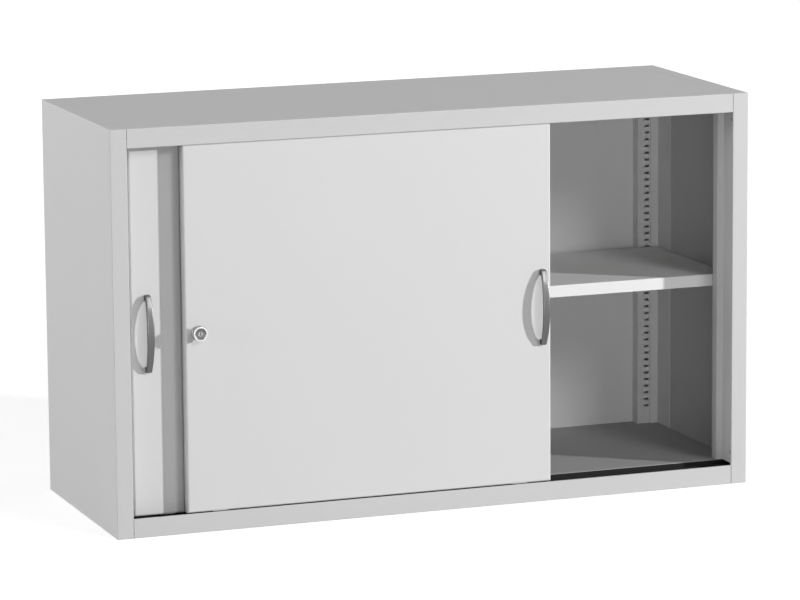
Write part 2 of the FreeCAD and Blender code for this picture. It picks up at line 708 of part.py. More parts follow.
def lock_keeper():
    """Bridge on the rear door with the hole that the bolt enters when both doors are closed."""
    x0, x1 = keeper_x - KEEPER_WIDE / 2, keeper_x + KEEPER_WIDE / 2
    reach = KEEPER_LONG / 2
    tab_y = behind_y - KEEPER_SHEET
    bridge = box(x0, x1, keeper_y, behind_y, GRIP_Z - reach, GRIP_Z + reach)
    under = reach - KEEPER_SHEET
    bridge = bridge.cut(box(x0 - SHEET, x1 + SHEET, keeper_y + KEEPER_SHEET, behind_y + SHEET,
                            GRIP_Z - under, GRIP_Z + under))
    tabs = [box(x0, x1, tab_y, behind_y, GRIP_Z + reach, GRIP_Z + reach + KEEPER_TAB),
            box(x0, x1, tab_y, behind_y, GRIP_Z - reach - KEEPER_TAB, GRIP_Z - reach)]
    hole = rod_y(BOLT_R + KEEPER_HOLE_GAP, keeper_x, GRIP_Z, keeper_y - SHEET, keeper_y + 2 * KEEPER_SHEET)
    bridge = bridge.fuse(tabs).removeSplitter().cut(hole)
    for z in keeper_tabs():
        bridge = bridge.cut(rod_y(KEEPER_RIVET_R + RIVET_FIT, keeper_x, z, tab_y - SHEET, behind_y + SHEET))
    return bridge


def keeper_rivet(z):
    front, back = behind_y - KEEPER_SHEET, behind_y + SHEET
    ends = [(front - KEEPER_RIVET_HEAD, front), (back, back + KEEPER_RIVET_HEAD)]
    heads = [rod_y(KEEPER_RIVET_HEAD_R, keeper_x, z, y0, y1) for y0, y1 in ends]
    return rod_y(KEEPER_RIVET_R, keeper_x, z, front, back).fuse(heads)


def save_door(name, x0, y0, z0, handle_x, holes, back):
    """Write the pieces that both doors have."""
    places = roller_places(x0)
    save(name + "_skin", door_skin(x0, y0, z0, handle_x, holes))
    save(name + "_back", back)
    save(name + "_stiffeners", *[door_stiffener(x, y0, z0) for x in (x0 + STIFFENER_INSET,
                                                                    x0 + door_wide - STIFFENER_INSET)])
    save(name + "_roller_brackets", *[roller_bracket(x, y0, z0) for x in places])
    save(name + "_axles", *[roller_axle(x, y0) for x in places])
    save(name + "_roller_left", roller(places[0], y0))
    save(name + "_roller_right", roller(places[1], y0))
    save(name + "_guides", *[door_guide(x, y0) for x in places])
    save(name + "_handle", handle(handle_x, y0))
    save(name + "_handle_screws", *[handle_screw(handle_x, z, y0) for z in handle_legs()])


os.makedirs("parts", exist_ok=True)

# Carcass
save("side_panel_right", side_panel())
save("side_panel_left", mirrored(side_panel()))
save("top_panel", top_panel())
save("seam_strips", seam_strip(), mirrored(seam_strip()))
save("bottom_rail", bottom_rail())
save("rear_rail", rear_rail())
save("floor_panel", floor_panel())
save("floor_stiffener", floor_stiffener())
save("back_panel", back_panel())
save("back_rivets", *[back_rivet(x, z) for x, z in rivet_places()])
save("jamb_right", jamb())
save("jamb_left", mirrored(jamb()))
save("rear_upright_right", rear_upright())
save("rear_upright_left", mirrored(rear_upright()))

# Shelf
save("shelf", shelf())
save("shelf_stiffener", shelf_stiffener())
clips = [shelf_clip(jamb_back_y, 1), shelf_clip(upright_y, -1)]
save("shelf_clips", *clips, *[mirrored(clip) for clip in clips])

# Tracks, stops and buffers
front_middle, behind_middle = door_middle(front_y), door_middle(behind_y)
front_guide = roller_places(front_x)[0] - GUIDE_LONG / 2
behind_guide = roller_places(-closed_x)[1] + GUIDE_LONG / 2
save("bottom_track", bottom_track())
save("track_screws", *[track_screw(x, y) for x, y in track_screw_places()])
save("top_track", top_track())
save("track_stops", track_stop(front_guide - BUFFER_GAP, -1, front_middle),
     track_stop(behind_guide + open_travel + BUFFER_GAP, 1, behind_middle))
buffers = [(1, front_middle, front_z), (-1, behind_middle, behind_z)]
save("door_buffers", *[door_buffer(side, y, z) for side, y, z0 in buffers
                       for z in (z0 + BUFFER_END, door_top - BUFFER_END)])

# Front door with the lock
lock_hole = at_lock(LOCK_BODY_R + FIT, front_y - SHEET, front_y + 2 * SHEET)
bolt_hole = at_lock(BOLT_R + BOLT_CLEAR, housing_end, front_y + DOOR_THICK + SHEET)
save_door("front_door", front_x, front_y, front_z, front_x + door_wide - HANDLE_INSET, [lock_hole],
          door_back(front_x, front_y, front_z).cut(bolt_hole))
save("lock_rosette", lock_rosette())
save("lock_housing", lock_housing())
save("lock_nut", lock_nut())
save("lock_cylinder", lock_cylinder())
save("lock_bolt", lock_bolt())
save("key_plug", key_plug())

# Rear door with the keeper
rivet_cuts = [rod_y(KEEPER_RIVET_R + RIVET_FIT, keeper_x, z, behind_y - SHEET, behind_y + 2 * SHEET)
              for z in keeper_tabs()]
save_door("rear_door", behind_x, behind_y, behind_z, behind_x + REAR_HANDLE_INSET, rivet_cuts,
          door_back(behind_x, behind_y, behind_z))
save("lock_keeper", lock_keeper())
save("keeper_rivets", *[keeper_rivet(z) for z in keeper_tabs()])
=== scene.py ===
import bmesh
import bpy
import math
from mathutils import Matrix, Vector


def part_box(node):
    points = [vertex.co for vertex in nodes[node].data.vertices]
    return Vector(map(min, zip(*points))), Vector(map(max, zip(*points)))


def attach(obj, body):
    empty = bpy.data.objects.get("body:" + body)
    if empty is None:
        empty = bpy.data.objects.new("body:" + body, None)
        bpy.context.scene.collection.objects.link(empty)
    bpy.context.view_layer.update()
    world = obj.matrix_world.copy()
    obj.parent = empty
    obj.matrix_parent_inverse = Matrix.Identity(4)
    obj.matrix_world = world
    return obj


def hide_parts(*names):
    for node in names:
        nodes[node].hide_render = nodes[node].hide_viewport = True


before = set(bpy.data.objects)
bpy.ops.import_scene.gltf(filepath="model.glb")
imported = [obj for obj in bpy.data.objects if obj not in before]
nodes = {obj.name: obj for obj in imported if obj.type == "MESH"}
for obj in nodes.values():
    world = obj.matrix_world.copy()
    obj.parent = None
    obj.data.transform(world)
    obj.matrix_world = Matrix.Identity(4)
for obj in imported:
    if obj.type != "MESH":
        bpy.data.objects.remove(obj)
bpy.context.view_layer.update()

# Carcass: side panels, top, rails and floor of folded steel sheet.
# The sheets are spot welded and then powder coated in a light grey, which leaves a fine orange peel
# and a slightly uneven sheen. Thin seams stay open where two sheets meet.
CARCASS_GREY = (0.58, 0.58, 0.58, 1)
COAT_ROUGHNESS = 0.62
COAT_GLOSS = 0.2
COAT_MOTTLE = 0.02
CLOUDS_PER_METRE = 3.0
CLOUD_DETAIL = 3.0
SHEEN_PER_METRE = 11.0
SHEEN_DETAIL = 4.0
SHEEN_SPREAD = 0.025
PEEL_PER_METRE = 700.0
PEEL_DETAIL = 2.0
PEEL_DEPTH = 0.00006
CARCASS_SHEETS = ["side_panel_right", "side_panel_left", "top_panel", "seam_strips", "bottom_rail",
                  "rear_rail"]


def new_group(name, inputs, outputs):
    """An empty shader node group with its sockets, and the nodes that carry them."""
    group = bpy.data.node_groups.new(name, "ShaderNodeTree")
    for label, kind in inputs:
        group.interface.new_socket(label, in_out="INPUT", socket_type=kind)
    for label, kind in outputs:
        group.interface.new_socket(label, in_out="OUTPUT", socket_type=kind)
    return group, group.nodes.new("NodeGroupInput").outputs, group.nodes.new("NodeGroupOutput")


def add(tree, kind, inputs, **options):
    """A shader node with its options. Each input is linked where it is given a socket, and set otherwise."""
    node = tree.nodes.new(kind)
    for name, value in options.items():
        setattr(node, name, value)
    for name, value in inputs.items():
        if isinstance(value, bpy.types.NodeSocket):
            tree.links.new(value, node.inputs[name])
        else:
            node.inputs[name].default_value = value
    return node


def add_noise(tree, places, scale, detail):
    inputs = {"Vector": places, "Scale": scale, "Detail": detail}
    return add(tree, "ShaderNodeTexNoise", inputs).outputs["Fac"]


def add_range(tree, value, low, high):
    """A value from 0 to 1, spread from low to high."""
    inputs = {"Value": value, "To Min": low, "To Max": high}
    return add(tree, "ShaderNodeMapRange", inputs).outputs["Result"]


def object_places(tree):
    return tree.nodes.new("ShaderNodeTexCoord").outputs["Object"]


coat_group, given, result = new_group(
    "coat_peel",
    [("Color", "NodeSocketColor"), ("Rough", "NodeSocketFloat"), ("Mottle", "NodeSocketFloat")],
    [("Color", "NodeSocketColor"), ("Roughness", "NodeSocketFloat"), ("Height", "NodeSocketFloat")])
places = object_places(coat_group)
cloudy = add_noise(coat_group, places, CLOUDS_PER_METRE, CLOUD_DETAIL)
darkest = add(coat_group, "ShaderNodeMath", {0: 1.0, 1: given["Mottle"]}, operation="SUBTRACT").outputs[0]
tone = add_range(coat_group, cloudy, darkest, 1.0)
toned = add(coat_group, "ShaderNodeHueSaturation", {"Value": tone, "Color": given["Color"]})
uneven = add_noise(coat_group, places, SHEEN_PER_METRE, SHEEN_DETAIL)
sheen = add_range(coat_group, uneven, -SHEEN_SPREAD, SHEEN_SPREAD)
rough = add(coat_group, "ShaderNodeMath", {0: given["Rough"], 1: sheen}, operation="ADD")
coat_group.links.new(toned.outputs["Color"], result.inputs["Color"])
coat_group.links.new(rough.outputs[0], result.inputs["Roughness"])
peel = add_noise(coat_group, places, PEEL_PER_METRE, PEEL_DETAIL)
coat_group.links.new(peel, result.inputs["Height"])


def new_material(name):
    material = bpy.data.materials.new(name)
    material.use_nodes = True
    return material, material.node_tree, material.node_tree.nodes["Principled BSDF"]


def bump(tree, shader, height, depth):
    """Let a height in the material roughen the surface to a depth in metres."""
    node = add(tree, "ShaderNodeBump", {"Height": height, "Distance": depth})
    tree.links.new(node.outputs["Normal"], shader.inputs["Normal"])


def grouped_material(name, group, inputs, depth):
    """A material whose colour, roughness and fine relief come from a node group, and its shader."""
    material, tree, shader = new_material(name)
    finish = add(tree, "ShaderNodeGroup", inputs, node_tree=group)
    tree.links.new(finish.outputs["Color"], shader.inputs["Base Color"])
    tree.links.new(finish.outputs["Roughness"], shader.inputs["Roughness"])
    bump(tree, shader, finish.outputs["Height"], depth)
    return material, shader


def powder_coat(name, grey):
    inputs = {"Color": grey, "Rough": COAT_ROUGHNESS, "Mottle": COAT_MOTTLE}
    material, shader = grouped_material(name, coat_group, inputs, PEEL_DEPTH)
    shader.inputs["Specular IOR Level"].default_value = COAT_GLOSS
    return material


def dress(names, material):
    """Give CAD pieces their finish."""
    for name in names:
        for slot in nodes[name].material_slots:
            slot.material = material


dress(CARCASS_SHEETS, powder_coat("carcass_coat", CARCASS_GREY))

# Floor: a folded steel tray with a step for the bottom track and a stiffener under it.
# Its coat is painted a darker grey than the frame's, as painted shade for the inside of the cabinet.
FLOOR_SHADE_GREY = (0.42, 0.42, 0.42, 1)
dress(["floor_panel", "floor_stiffener"], powder_coat("floor_coat", FLOOR_SHADE_GREY))

# Back panel, jambs and rear uprights: flat and folded sheets inside the frame, in coats painted lighter as
# painted light for the inside.
# The back is riveted on, the jambs wall off the door pocket, and the shelf's clips hang in the slots.
BACK_PAINTED_LIGHT_GREY = (0.84, 0.84, 0.84, 1)
INNER_PAINTED_LIGHT_GREY = (0.76, 0.76, 0.76, 1)
INNER_SHEETS = ["jamb_right", "jamb_left", "rear_upright_right", "rear_upright_left"]
dress(["back_panel"], powder_coat("back_coat", BACK_PAINTED_LIGHT_GREY))
dress(INNER_SHEETS, powder_coat("inner_coat", INNER_PAINTED_LIGHT_GREY))

# Back rivets: blind rivets of aluminium that hold the back panel to the folded edges of the carcass.
# Each has a domed head inside the cabinet, with the stub of its pin in the middle, and a shank that
# ends flush behind.
RIVET_SHANK_R = 0.0024
RIVET_HEAD = 0.001
RIVET_SLOPE = 0.0008
RIVET_PIN_R = 0.0011
RIVET_PIN_SINK = 0.0003
RIVET_GREY = (0.56, 0.56, 0.57, 1)
GRAIN_DETAIL = 3.0
GRAIN_DARKEST = 0.9
GRAIN_LIGHTEST = 1.06
SHARP = math.radians(35)
RIM_PARTS = 24
SAME_CORNER = 1e-6
SAME_POINT = 1e-7


def solid_boxes(name):
    """Lowest and highest corner of each separate solid of a CAD piece."""
    bm = bmesh.new()
    bm.from_mesh(nodes[name].data)
    bmesh.ops.remove_doubles(bm, verts=bm.verts, dist=SAME_CORNER)
    left = set(bm.verts)
    boxes = []
    while left:
        reached = [left.pop()]
        for vert in reached:
            linked = left.intersection(edge.other_vert(vert) for edge in vert.link_edges)
            left -= linked
            reached.extend(linked)
        places = [vert.co for vert in reached]
        boxes.append([Vector(pick(place[axis] for place in places) for axis in range(3))
                      for pick in (min, max)])
    bm.free()
    return boxes


def stand(bm, place, axis):
    """Turn a shape's own upright axis to another and move it to its place."""
    turn = Vector((0, 0, 1)).rotation_difference(Vector(axis)).to_matrix().to_4x4()
    bmesh.ops.transform(bm, matrix=Matrix.Translation(place) @ turn, verts=bm.verts)
    return bm


def round_edges(bm, radius, parts):
    """Round every sharp edge of a shape."""
    sharp = [edge for edge in bm.edges if edge.is_manifold and edge.calc_face_angle() > SHARP]
    bmesh.ops.bevel(bm, geom=sharp, offset=radius, offset_type="OFFSET", segments=parts, profile=0.5,
                    affect="EDGES", clamp_overlap=True, material=-1)
    return bm


def turned(profile, ring=False):
    """A turned shape from a row of points, each its distance from the axis and along it.

    The row of a ring is closed.
    """
    bm = bmesh.new()
    verts = [bm.verts.new((radius, 0, along)) for radius, along in profile]
    edges = [bm.edges.new(pair) for pair in zip(verts, verts[1:])]
    if ring:
        edges.append(bm.edges.new((verts[-1], verts[0])))
    bmesh.ops.spin(bm, geom=verts + edges, cent=(0, 0, 0), axis=(0, 0, 1), angle=math.tau, steps=RIM_PARTS,
                   use_merge=True)
    bmesh.ops.remove_doubles(bm, verts=bm.verts, dist=SAME_POINT)
    bmesh.ops.recalc_face_normals(bm, faces=bm.faces)
    return bm


def make_piece(name, shapes, material, body, slot, *stands_for):
    """One object from its shapes. It rides on a body and stands for its CAD pieces."""
    whole = bmesh.new()
    for shape in shapes:
        part = bpy.data.meshes.new(name)
        shape.to_mesh(part)
        shape.free()
        whole.from_mesh(part)
        bpy.data.meshes.remove(part)
    mesh = bpy.data.meshes.new(name)
    whole.to_mesh(mesh)
    whole.free()
    mesh.materials.append(material)
    mesh.shade_smooth()
    mesh.set_sharp_from_angle(angle=SHARP)
    piece = bpy.data.objects.new(name, mesh)
    bpy.context.scene.collection.objects.link(piece)
    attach(piece, body)
    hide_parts(*stands_for)
    return piece


metal_group, given, result = new_group(
    "metal_finish",
    [("Color", "NodeSocketColor"), ("Rough", "NodeSocketFloat"), ("Uneven", "NodeSocketFloat"),
     ("Grain", "NodeSocketVector")],
    [("Color", "NodeSocketColor"), ("Roughness", "NodeSocketFloat"), ("Height", "NodeSocketFloat")])
inputs = {"Vector": object_places(metal_group), "Scale": given["Grain"]}
grained = add(metal_group, "ShaderNodeMapping", inputs)
grain = add_noise(metal_group, grained.outputs["Vector"], 1.0, GRAIN_DETAIL)
tone = add_range(metal_group, grain, GRAIN_DARKEST, GRAIN_LIGHTEST)
toned = add(metal_group, "ShaderNodeHueSaturation", {"Value": tone, "Color": given["Color"]})
centred = add_range(metal_group, grain, -0.5, 0.5)
rough = add(metal_group, "ShaderNodeMath", {0: centred, 1: given["Uneven"], 2: given["Rough"]},
            operation="MULTIPLY_ADD")
metal_group.links.new(toned.outputs["Color"], result.inputs["Color"])
metal_group.links.new(rough.outputs[0], result.inputs["Roughness"])
metal_group.links.new(grain, result.inputs["Height"])


def metal(name, colour, rough, uneven, grain, depth):
    inputs = {"Color": colour, "Rough": rough, "Uneven": uneven, "Grain": grain}
    material, shader = grouped_material(name, metal_group, inputs, depth)
    shader.inputs["Metallic"].default_value = 1.0
    return material


aluminium = metal("rivet_aluminium", RIVET_GREY, rough=0.42, uneven=0.2, grain=(900, 900, 900),
                  depth=0.00002)
rivets = []
for lowest, highest in solid_boxes("back_rivets"):
    middle = (lowest + highest) / 2
    head_r = (highest.x - lowest.x) / 2
    long = highest.y - lowest.y
    neck = long - RIVET_HEAD
    pin = long - RIVET_PIN_SINK
    rivet = turned([(0, 0), (RIVET_SHANK_R, 0), (RIVET_SHANK_R, neck), (head_r, neck),
                    (head_r - RIVET_SLOPE, long - RIVET_HEAD / 3), (head_r / 2, long), (RIVET_PIN_R, long),
                    (RIVET_PIN_R, pin), (0, pin)])
    rivets.append(stand(rivet, (middle.x, highest.y, middle.z), (0, -1, 0)))
make_piece("back_rivet_heads", rivets, aluminium, "cabinet", "zinc_steel", "back_rivets")

# Shelf: a tray of coated sheet with its edges folded down, and a hat section welded below it.
# It lies loose on four clips, so that it can be hung at another height.
SHELF_GREY = (0.79, 0.79, 0.785, 1)
dress(["shelf", "shelf_stiffener"], powder_coat("shelf_coat", SHELF_GREY))

# Shelf clips: hooks of bent steel plate, plated with zinc.
# Each hangs in one slot of an upright, and the shelf rests on its arm.
ZINC_GREY = (0.60, 0.61, 0.62, 1)
zinc = metal("zinc_plate", ZINC_GREY, rough=0.36, uneven=0.25, grain=(160, 160, 160), depth=0.00003)
dress(["shelf_clips"], zinc)

# Tracks: black plastic profiles, pushed out through a die, which leaves fine lines along their length.
# The lower one carries the rollers on two ribs, the upper one keeps the doors upright in two grooves.
TRACK_BLACK = (0.012, 0.012, 0.013, 1)
TRACK_GLOSS = 0.2
TRACK_SMOOTHEST = 0.45
TRACK_ROUGHEST = 0.65
DIE_LINES = (3.0, 900.0, 900.0)
DIE_LINE_DETAIL = 2.0
DIE_LINE_DEPTH = 0.00005

plastic, tree, shader = new_material("track_plastic")
stretched = add(tree, "ShaderNodeMapping", {"Vector": object_places(tree), "Scale": DIE_LINES})
lines = add_noise(tree, stretched.outputs["Vector"], 1.0, DIE_LINE_DETAIL)
shader.inputs["Base Color"].default_value = TRACK_BLACK
shader.inputs["Specular IOR Level"].default_value = TRACK_GLOSS
tree.links.new(add_range(tree, lines, TRACK_SMOOTHEST, TRACK_ROUGHEST), shader.inputs["Roughness"])
bump(tree, shader, lines, DIE_LINE_DEPTH)
dress(["bottom_track", "top_track", "track_stops"], plastic)

# Track screws: plated steel screws with a pan head and a cross recess.
# They go down through the lower track into the sheet of its bed.
SCREW_SHANK_R = 0.002
SCREW_HEAD = 0.002
SCREW_ROUND = 0.0009
RECESS_WIDE = 0.0006
RECESS_LONG = 0.0023
RECESS_DEEP = 0.0012
RECESS_TAPER = 0.7


def only(geometry, kind):
    return [item for item in geometry if isinstance(item, kind)]


def grow(bm, loop, matrix):
    """Draw a loop of edges out to a new place, and give the new loop."""
    grown = bmesh.ops.extrude_edge_only(bm, edges=loop)["geom"]
    verts = only(grown, bmesh.types.BMVert)
    bmesh.ops.transform(bm, matrix=matrix, verts=verts)
    return [edge for edge in only(grown, bmesh.types.BMEdge) if all(vert in verts for vert in edge.verts)]


def widen(ratio):
    return Matrix.Diagonal((ratio, ratio, 1, 1))


def raise_by(distance):
    return Matrix.Translation((0, 0, distance))


def cross_screw(head_r, long):
    """Screw with its head's top at 0.

    It starts as a disc cut along the recess, which is pushed in, and is drawn down at the rim.
    """
    bm = bmesh.new()
    bmesh.ops.create_circle(bm, cap_ends=True, segments=RIM_PARTS, radius=head_r)
    for axis in ((1, 0, 0), (0, 1, 0)):
        for reach in (-RECESS_LONG, -RECESS_WIDE, RECESS_WIDE, RECESS_LONG):
            bmesh.ops.bisect_plane(bm, geom=bm.verts[:] + bm.edges[:] + bm.faces[:], dist=SAME_POINT,
                                   plane_co=Vector(axis) * reach, plane_no=axis)
    rim = [edge for edge in bm.edges if edge.is_boundary]
    recess = []
    for face in bm.faces:
        near, far = sorted(abs(value) for value in face.calc_center_median().xy)
        if near < RECESS_WIDE and far < RECESS_LONG:
            recess.append(face)
    sunk = bmesh.ops.extrude_face_region(bm, geom=recess)["geom"]
    bmesh.ops.transform(bm, matrix=raise_by(-RECESS_DEEP) @ widen(RECESS_TAPER),
                        verts=only(sunk, bmesh.types.BMVert))
    bmesh.ops.delete(bm, geom=[face for face in recess if face.is_valid], context="FACES_ONLY")
    crown = (head_r - SCREW_ROUND) / head_r
    for vert in {vert for edge in rim for vert in edge.verts}:
        vert.co.xy *= crown
    rim = grow(bm, rim, raise_by(-SCREW_ROUND / 3) @ widen((1 + 1 / crown) / 2))
    rim = grow(bm, rim, raise_by(SCREW_ROUND / 3 - SCREW_ROUND) @ widen(head_r / (head_r - SCREW_ROUND / 2)))
    rim = grow(bm, rim, raise_by(SCREW_ROUND - SCREW_HEAD))
    rim = grow(bm, rim, widen(SCREW_SHANK_R / head_r))
    rim = grow(bm, rim, raise_by(SCREW_HEAD - long))
    bmesh.ops.holes_fill(bm, edges=rim)
    bmesh.ops.recalc_face_normals(bm, faces=bm.faces)
    return bm


screws = []
for lowest, highest in solid_boxes("track_screws"):
    middle = (lowest + highest) / 2
    screw = cross_screw((highest.x - lowest.x) / 2, highest.z - lowest.z)
    screws.append(stand(screw, (middle.x, middle.y, highest.z), (0, 0, 1)))
make_piece("track_cross_screws", screws, zinc, "cabinet", "zinc_steel", "track_screws")

# Door buffers: moulded buttons of black rubber with a domed face.
# They are stuck to the jambs, two for each door's closing edge.
BUFFER_ROUND = 0.0012
RUBBER_BLACK = (0.02, 0.02, 0.02, 1)
MOULD_SKIN_DEPTH = 0.00004


def moulded(name, colour, rough, mottle):
    """Moulded rubber or plastic with the fine skin of its mould."""
    inputs = {"Color": colour, "Rough": rough, "Mottle": mottle}
    return grouped_material(name, coat_group, inputs, MOULD_SKIN_DEPTH)[0]


rubber = moulded("buffer_rubber", RUBBER_BLACK, rough=0.75, mottle=0.3)
buttons = []
for lowest, highest in solid_boxes("door_buffers"):
    middle = (lowest + highest) / 2
    radius = (highest.z - lowest.z) / 2
    high = highest.x - lowest.x
    inward = -1 if middle.x > 0 else 1
    button = turned([(0, 0), (radius, 0), (radius, high - BUFFER_ROUND),
                     (radius - BUFFER_ROUND, high - BUFFER_ROUND / 4), (radius / 2, high), (0, high)])
    foot = highest.x if middle.x > 0 else lowest.x
    buttons.append(stand(button, (foot, middle.y, middle.z), (inward, 0, 0)))
make_piece("rubber_buttons", buttons, rubber, "cabinet", "buffer_rubber", "door_buffers")

# Doors: trays of coated sheet, closed by a back sheet and stiffened by hat sections.
# The front door runs one plane in front of the rear door.
DOOR_GREY = (0.66, 0.66, 0.66, 1)
DOORS = ("front_door", "rear_door")
door_coat = powder_coat("door_coat", DOOR_GREY)
for door in DOORS:
    dress([door + "_skin", door + "_back", door + "_stiffeners"], door_coat)

# Roller brackets and axles: bent plate and turned pins of zinc plated steel, inside the lower edge
# of each door.
# An axle is riveted from cheek to cheek, and its shoulders keep the roller in the middle.
for door in DOORS:
    dress([door + "_roller_brackets", door + "_axles"], zinc)

# Rollers: wheels of black nylon, with a groove that runs on the rib of the track.
# They are moulded hollow at both sides round the hub, and turn freely on their axles.
ROLLER_BORE_R = 0.00305
ROLLER_HUB_R = 0.006
ROLLER_TYRE_R = 0.0105
ROLLER_HOLLOW = 0.0016
ROLLER_GROOVE = 0.002
ROLLER_GROOVE_HALF = 0.0021
ROLLER_ROUND = 0.0003
# The nylon is black, and its black also stands as painted shade in the gap under the doors.
NYLON_BLACK_AND_GAP_SHADE = (0.03, 0.03, 0.03, 1)
nylon = moulded("nylon", NYLON_BLACK_AND_GAP_SHADE, rough=0.5, mottle=0.2)


def roller(name):
    lowest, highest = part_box(name)
    radius = (highest.x - lowest.x) / 2
    side = (highest.y - lowest.y) / 2
    web = side - ROLLER_HOLLOW
    half = [(ROLLER_BORE_R, side), (ROLLER_HUB_R, side), (ROLLER_HUB_R, web), (ROLLER_TYRE_R, web),
            (ROLLER_TYRE_R, side), (radius, side), (radius, ROLLER_GROOVE_HALF),
            (radius - ROLLER_GROOVE, ROLLER_GROOVE_HALF)]
    other_half = [(distance, -along) for distance, along in reversed(half)]
    wheel = round_edges(turned(half + other_half, ring=True), ROLLER_ROUND, parts=2)
    return stand(wheel, (lowest + highest) / 2, (0, -1, 0))


for door in DOORS:
    for end in ("left", "right"):
        node = door + "_roller_" + end
        body = door.replace("door", "roller") + "_" + end
        make_piece(node.replace("roller", "grooved_roller"), [roller(node)], nylon, body, "nylon", node)

# Top guides: blocks of the same black nylon, pushed into the upper edge of each door.
# A slit lets them spring a little between the walls of the upper track's groove.
GUIDE_ROUND = 0.0015
GUIDE_SLIT = 0.0015
GUIDE_SLIT_DEEP = 0.016
FACES_UP = 0.1


def guide(lowest, highest):
    size = highest - lowest
    bm = bmesh.new()
    bmesh.ops.create_cube(bm, size=1.0)
    bmesh.ops.scale(bm, vec=size, verts=bm.verts)
    round_edges(bm, GUIDE_ROUND, parts=3)
    for reach in (-GUIDE_SLIT, GUIDE_SLIT):
        bmesh.ops.bisect_plane(bm, geom=bm.verts[:] + bm.edges[:] + bm.faces[:], dist=SAME_POINT,
                               plane_co=(reach, 0, 0), plane_no=(1, 0, 0))
    top = [face for face in bm.faces
           if face.normal.z > FACES_UP and abs(face.calc_center_median().x) < GUIDE_SLIT]
    sunk = only(bmesh.ops.extrude_face_region(bm, geom=top)["geom"], bmesh.types.BMVert)
    bmesh.ops.translate(bm, vec=(0, 0, -GUIDE_SLIT_DEEP), verts=sunk)
    bmesh.ops.delete(bm, geom=[face for face in top if face.is_valid], context="FACES_ONLY")
    return stand(bm, (lowest + highest) / 2, (0, 0, 1))


for door in DOORS:
    guides = [guide(*box) for box in solid_boxes(door + "_guides")]
    make_piece(door + "_slit_guides", guides, nylon, door, "nylon", door + "_guides")

# Handles: one cast bar each, bowed outwards and wider in the middle, with its ends bent back to the door.
# The bar is ground and satin plated, and two screws from inside the door hold it.
HANDLE_END = 0.012
HANDLE_BAR = 0.0055
HANDLE_TIP = 0.011
HANDLE_BOW = 0.050
HANDLE_STATIONS = 13
HANDLE_SOFT = 0.38
HANDLE_CORNER_PARTS = 5
# Each row of the knee: height above the foot, distance from the door, slant in degrees, thickness.
HANDLE_KNEE = [(0.0060, 0.0000, 90, 0.0120), (0.0059, 0.0078, 90, 0.0118), (0.0064, 0.0096, 81, 0.0112),
               (0.0078, 0.0106, 70, 0.0094), (0.0108, 0.0122, 44, 0.0064), (0.0150, 0.0139, 21, 0.0057),
               (0.0190, 0.0156, 22, 0.0055), (0.0245, 0.0176, 20, 0.0055)]
# The plating's grey is painted dark, as painted reflection of dark surroundings that the satin metal would
# mirror.
HANDLE_DARKENED_GREY = (0.145, 0.145, 0.147, 1)
handle_metal = metal("handle_metal", HANDLE_DARKENED_GREY, rough=0.33, uneven=0.04, grain=(700, 700, 25),
                     depth=0.000006)


def handle(name):
    """A soft-cornered section, drawn along the bar from its lower foot to its upper foot."""
    lowest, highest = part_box(name)
    middle = (lowest + highest) / 2
    reach = (highest.z - lowest.z) / 2
    proud = highest.y - lowest.y
    rise = proud - HANDLE_END
    arc_r = (reach * reach + rise * rise) / (2 * rise)

    def station(height, out, slant, thick):
        wide = HANDLE_TIP + (highest.x - lowest.x - HANDLE_TIP) * (1 - (height / reach) ** 2)
        place = Matrix.Translation((middle.x, highest.y - out, middle.z + height))
        return place @ Matrix.Rotation(slant, 4, "X") @ Matrix.Diagonal((wide / 2, thick / 2, 1, 1))

    knee = [(up - reach, out, math.radians(slant), thick) for up, out, slant, thick in HANDLE_KNEE]
    bow = []
    for step in range(HANDLE_STATIONS):
        height = HANDLE_BOW * (2 * step / (HANDLE_STATIONS - 1) - 1)
        out = proud - HANDLE_BAR / 2 - arc_r + math.sqrt(arc_r * arc_r - height * height)
        bow.append((height, out, -math.asin(height / arc_r), HANDLE_BAR))
    other_knee = [(-height, out, -slant, thick) for height, out, slant, thick in reversed(knee)]
    places = [station(*values) for values in knee + bow + other_knee]
    bm = bmesh.new()
    bmesh.ops.create_grid(bm, x_segments=1, y_segments=1, size=1.0)
    bmesh.ops.bevel(bm, geom=bm.verts[:], offset=HANDLE_SOFT, offset_type="OFFSET",
                    segments=HANDLE_CORNER_PARTS, profile=0.5, affect="VERTICES", material=-1)
    bmesh.ops.transform(bm, matrix=places[0], verts=bm.verts)
    end = bm.faces[:][0]
    for before, after in zip(places, places[1:]):
        grown = bmesh.ops.extrude_face_region(bm, geom=[end])["geom"]
        end = only(grown, bmesh.types.BMFace)[0]
        bmesh.ops.transform(bm, matrix=after @ before.inverted(), verts=end.verts)
    bmesh.ops.recalc_face_normals(bm, faces=bm.faces)
    return bm


for door in DOORS:
    node = door + "_handle"
    make_piece(door + "_bow_handle", [handle(node)], handle_metal, door, "handle_metal", node)
    dress([door + "_handle_screws"], zinc)

